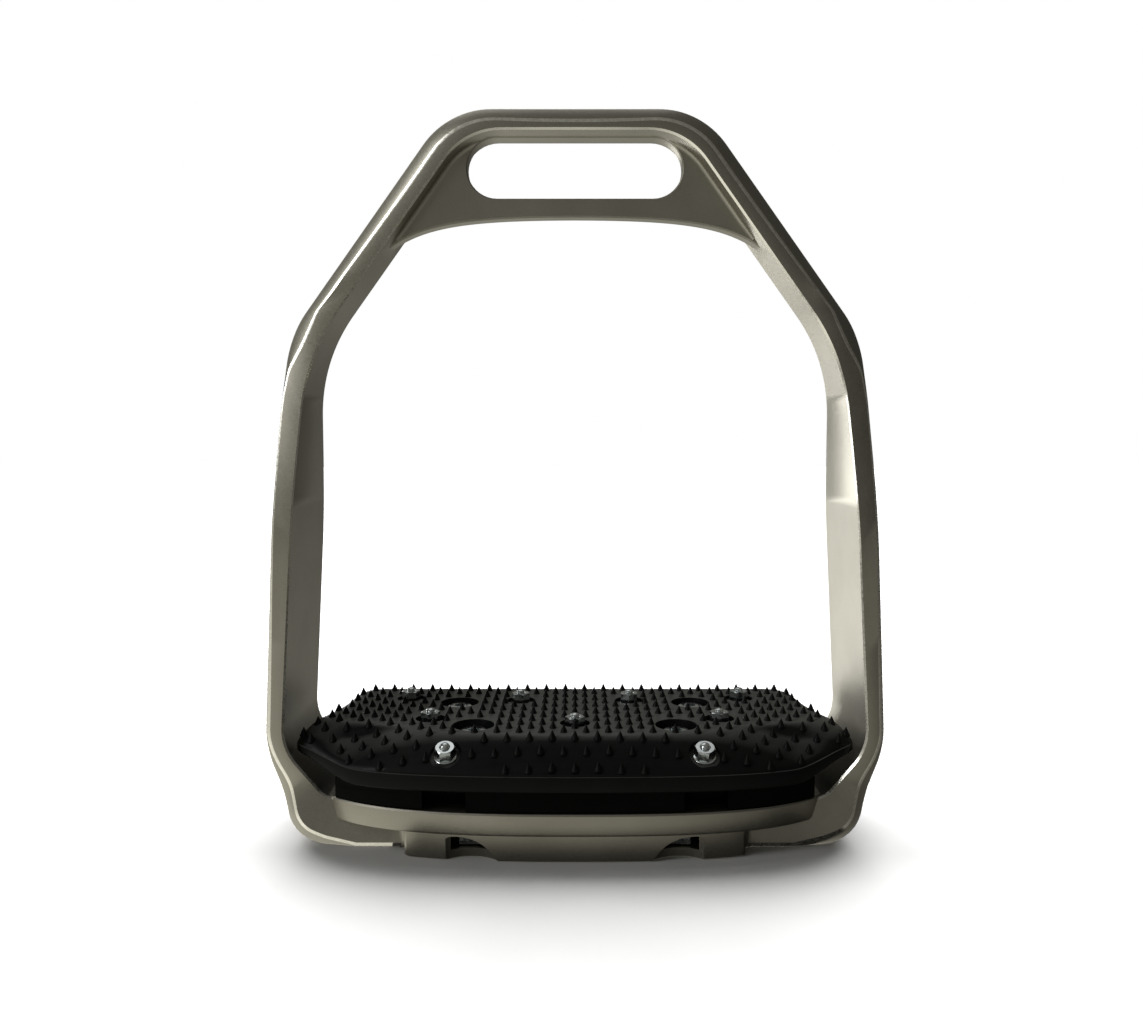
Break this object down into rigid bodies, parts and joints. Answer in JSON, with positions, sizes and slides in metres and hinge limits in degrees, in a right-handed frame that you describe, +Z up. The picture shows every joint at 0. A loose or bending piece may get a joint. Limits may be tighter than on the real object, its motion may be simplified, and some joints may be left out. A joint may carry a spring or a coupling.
{
  "type": "stirrup iron",
  "caption": "Fixed-tread stirrup iron: a metal frame with a strap slot in its top web, and a domed black grip tread with bright studs.",
  "frame": {"origin": "the middle of the flat underside of the base", "axes": "+X across the foot towards one arm, +Y along the foot, away from the side it enters, +Z up towards the strap slot"},
  "size_m": [0.1394, 0.0526, 0.1652],
  "materials": {
    "frame_metal": "bead-blasted and anodised in a warm grey, with bright cut edges",
    "tread_black": "black satin, moulded with rows of small spikes",
    "spacer_black": "dull black",
    "bright_steel": "bright zinc plate"
  },
  "bodies": {
    "root": {"frame": "frame_metal", "grip_nut_front_left": "bright_steel", "grip_nut_front_right": "bright_steel", "grip_nut_middle_centre": "bright_steel", "grip_nut_middle_left": "bright_steel", "grip_nut_middle_right": "bright_steel", "grip_nut_rear_inner_left": "bright_steel", "grip_nut_rear_inner_right": "bright_steel", "grip_nut_rear_outer_left": "bright_steel", "grip_nut_rear_outer_right": "bright_steel", "grip_stud_front_left": "bright_steel", "grip_stud_front_right": "bright_steel", "grip_stud_middle_centre": "bright_steel", "grip_stud_middle_left": "bright_steel", "grip_stud_middle_right": "bright_steel", "grip_stud_rear_inner_left": "bright_steel", "grip_stud_rear_inner_right": "bright_steel", "grip_stud_rear_outer_left": "bright_steel", "grip_stud_rear_outer_right": "bright_steel", "grip_washer_front_left": "bright_steel", "grip_washer_front_right": "bright_steel", "grip_washer_middle_centre": "bright_steel", "grip_washer_middle_left": "bright_steel", "grip_washer_middle_right": "bright_steel", "grip_washer_rear_inner_left": "bright_steel", "grip_washer_rear_inner_right": "bright_steel", "grip_washer_rear_outer_left": "bright_steel", "grip_washer_rear_outer_right": "bright_steel", "tread_nut_front_left": "bright_steel", "tread_nut_front_right": "bright_steel", "tread_nut_rear_left": "bright_steel", "tread_nut_rear_right": "bright_steel", "tread_plate": "tread_black", "tread_screw_front_left": "bright_steel", "tread_screw_front_right": "bright_steel", "tread_screw_rear_left": "bright_steel", "tread_screw_rear_right": "bright_steel", "tread_spacer": "spacer_black"}
  },
  "joints": []
}
